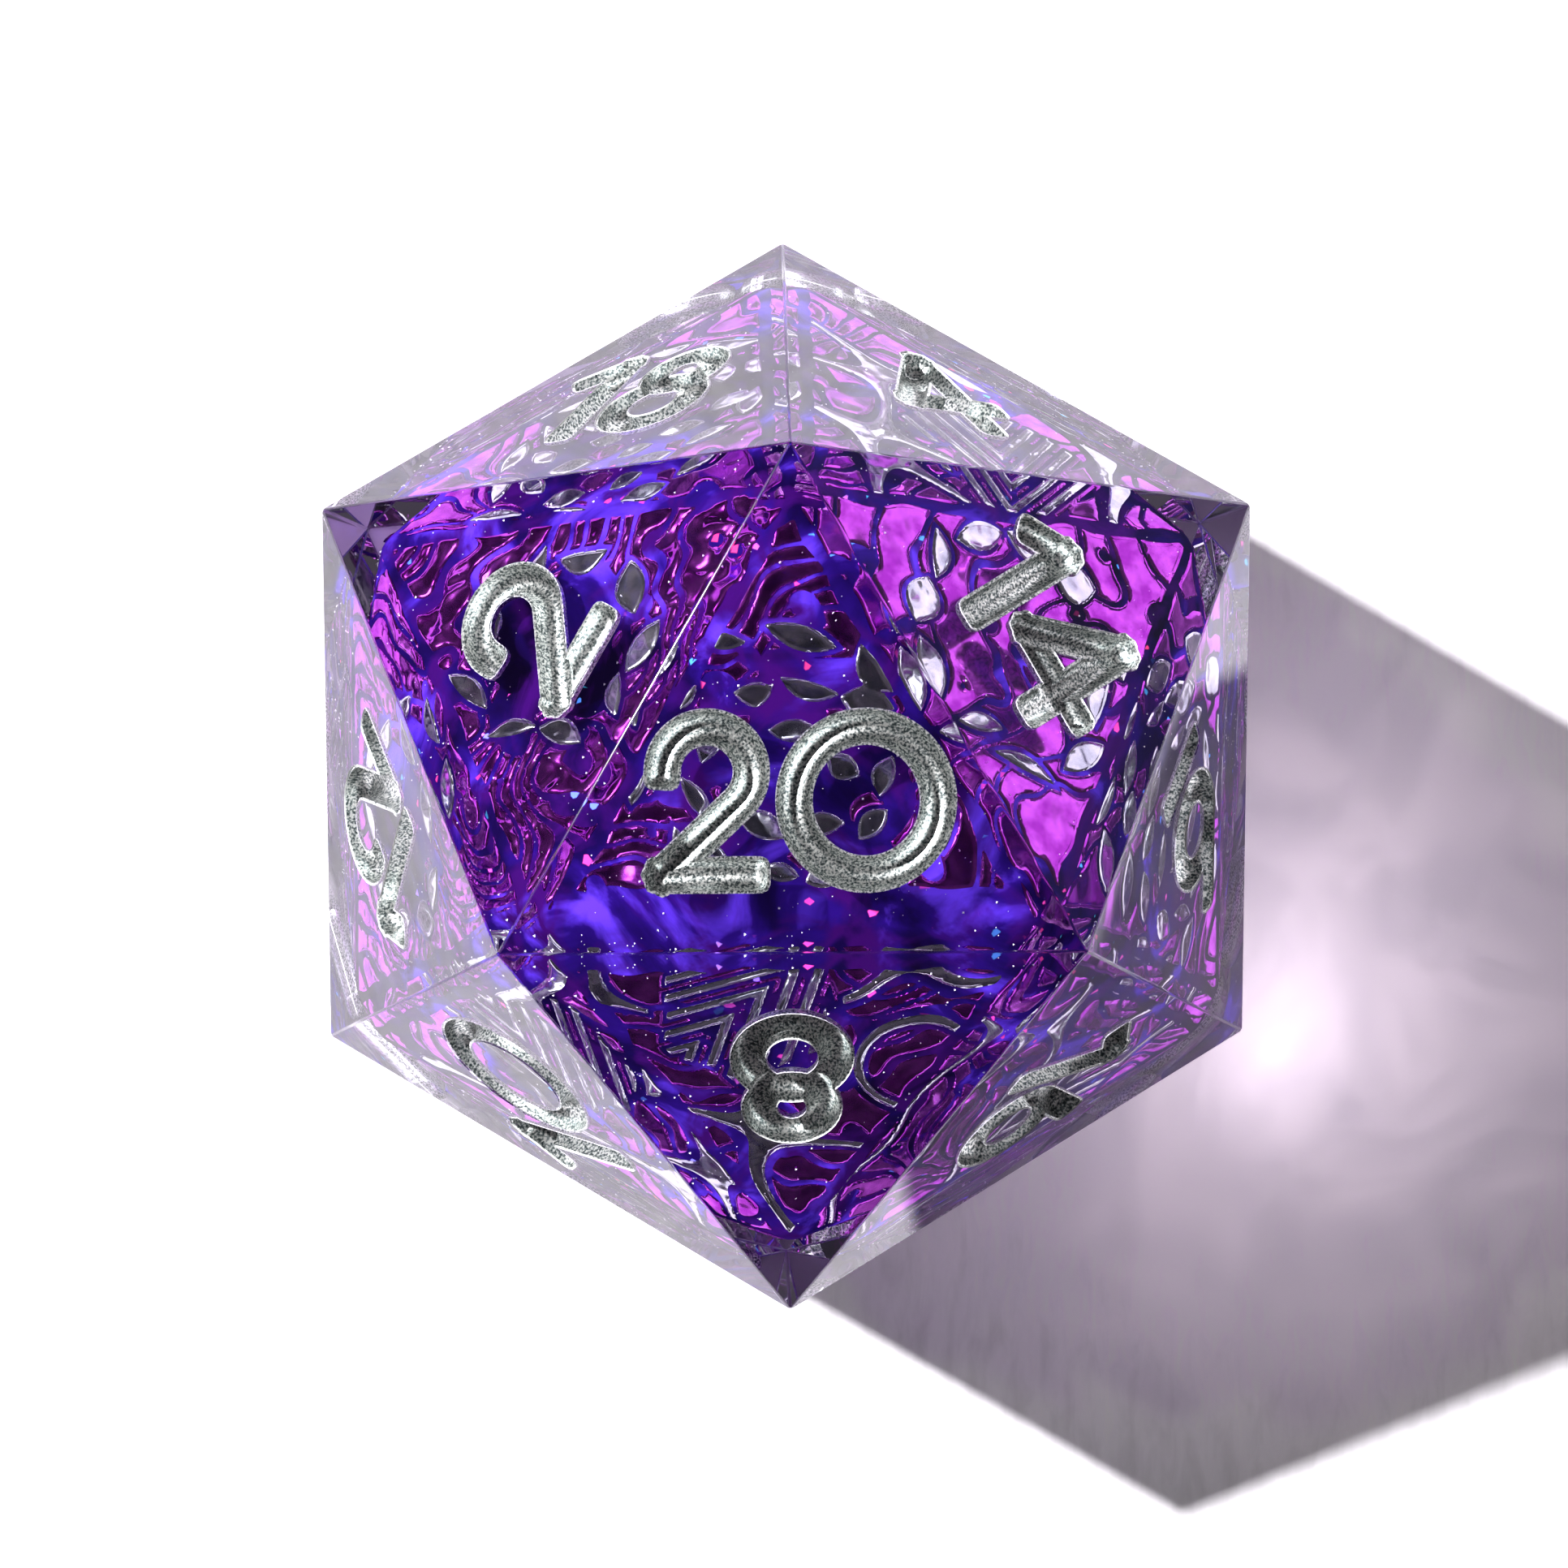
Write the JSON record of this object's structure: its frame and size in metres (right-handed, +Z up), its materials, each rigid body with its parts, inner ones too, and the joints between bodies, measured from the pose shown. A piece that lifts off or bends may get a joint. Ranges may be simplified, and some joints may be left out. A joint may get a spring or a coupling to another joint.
{
  "type": "polyhedral die",
  "caption": "Sharp-edged icosahedral gaming die of clear resin, with silver engraved numerals and a foiled violet core inside.",
  "frame": {"origin": "centre of the face numbered 1, which the die rests on", "axes": "+Z up through the face numbered 20, +Y towards the top of the numeral 20, +X to the right of that numeral"},
  "size_m": [0.0214, 0.0248, 0.02],
  "materials": {
    "clear_resin": "polished clear casting resin with a faint grey-lavender tint",
    "violet_resin": "cloudy indigo and violet resin with opal flakes and fine glitter",
    "magenta_foil": "crinkled mirror foil, magenta to purple",
    "silver_foil": "crinkled mirror foil, silver",
    "silver_ink": "grainy metallic silver ink"
  },
  "bodies": {
    "root": {"resin_upper_pour": "clear_resin", "resin_lower_pour": "clear_resin", "core": "violet_resin", "foil_face_01": "silver_foil", "foil_face_02": "magenta_foil", "foil_face_03": "magenta_foil", "foil_face_04": "magenta_foil", "foil_face_05": "silver_foil", "foil_face_06": "magenta_foil", "foil_face_07": "magenta_foil", "foil_face_08": "silver_foil", "foil_face_09": "magenta_foil", "foil_face_10": "magenta_foil", "foil_face_11": "magenta_foil", "foil_face_12": "magenta_foil", "foil_face_13": "silver_foil", "foil_face_14": "magenta_foil", "foil_face_15": "magenta_foil", "foil_face_16": "silver_foil", "foil_face_17": "magenta_foil", "foil_face_18": "magenta_foil", "foil_face_19": "magenta_foil", "foil_face_20": "silver_foil", "ink_face_01_units": "silver_ink", "ink_face_02_units": "silver_ink", "ink_face_03_units": "silver_ink", "ink_face_04_units": "silver_ink", "ink_face_05_units": "silver_ink", "ink_face_06_units": "silver_ink", "ink_face_06_bar": "silver_ink", "ink_face_07_units": "silver_ink", "ink_face_08_units": "silver_ink", "ink_face_09_units": "silver_ink", "ink_face_09_bar": "silver_ink", "ink_face_10_tens": "silver_ink", "ink_face_10_units": "silver_ink", "ink_face_11_tens": "silver_ink", "ink_face_11_units": "silver_ink", "ink_face_12_tens": "silver_ink", "ink_face_12_units": "silver_ink", "ink_face_13_tens": "silver_ink", "ink_face_13_units": "silver_ink", "ink_face_14_tens": "silver_ink", "ink_face_14_units": "silver_ink", "ink_face_15_tens": "silver_ink", "ink_face_15_units": "silver_ink", "ink_face_16_tens": "silver_ink", "ink_face_16_units": "silver_ink", "ink_face_17_tens": "silver_ink", "ink_face_17_units": "silver_ink", "ink_face_18_tens": "silver_ink", "ink_face_18_units": "silver_ink", "ink_face_19_tens": "silver_ink", "ink_face_19_units": "silver_ink", "ink_face_20_tens": "silver_ink", "ink_face_20_units": "silver_ink"}
  },
  "joints": []
}
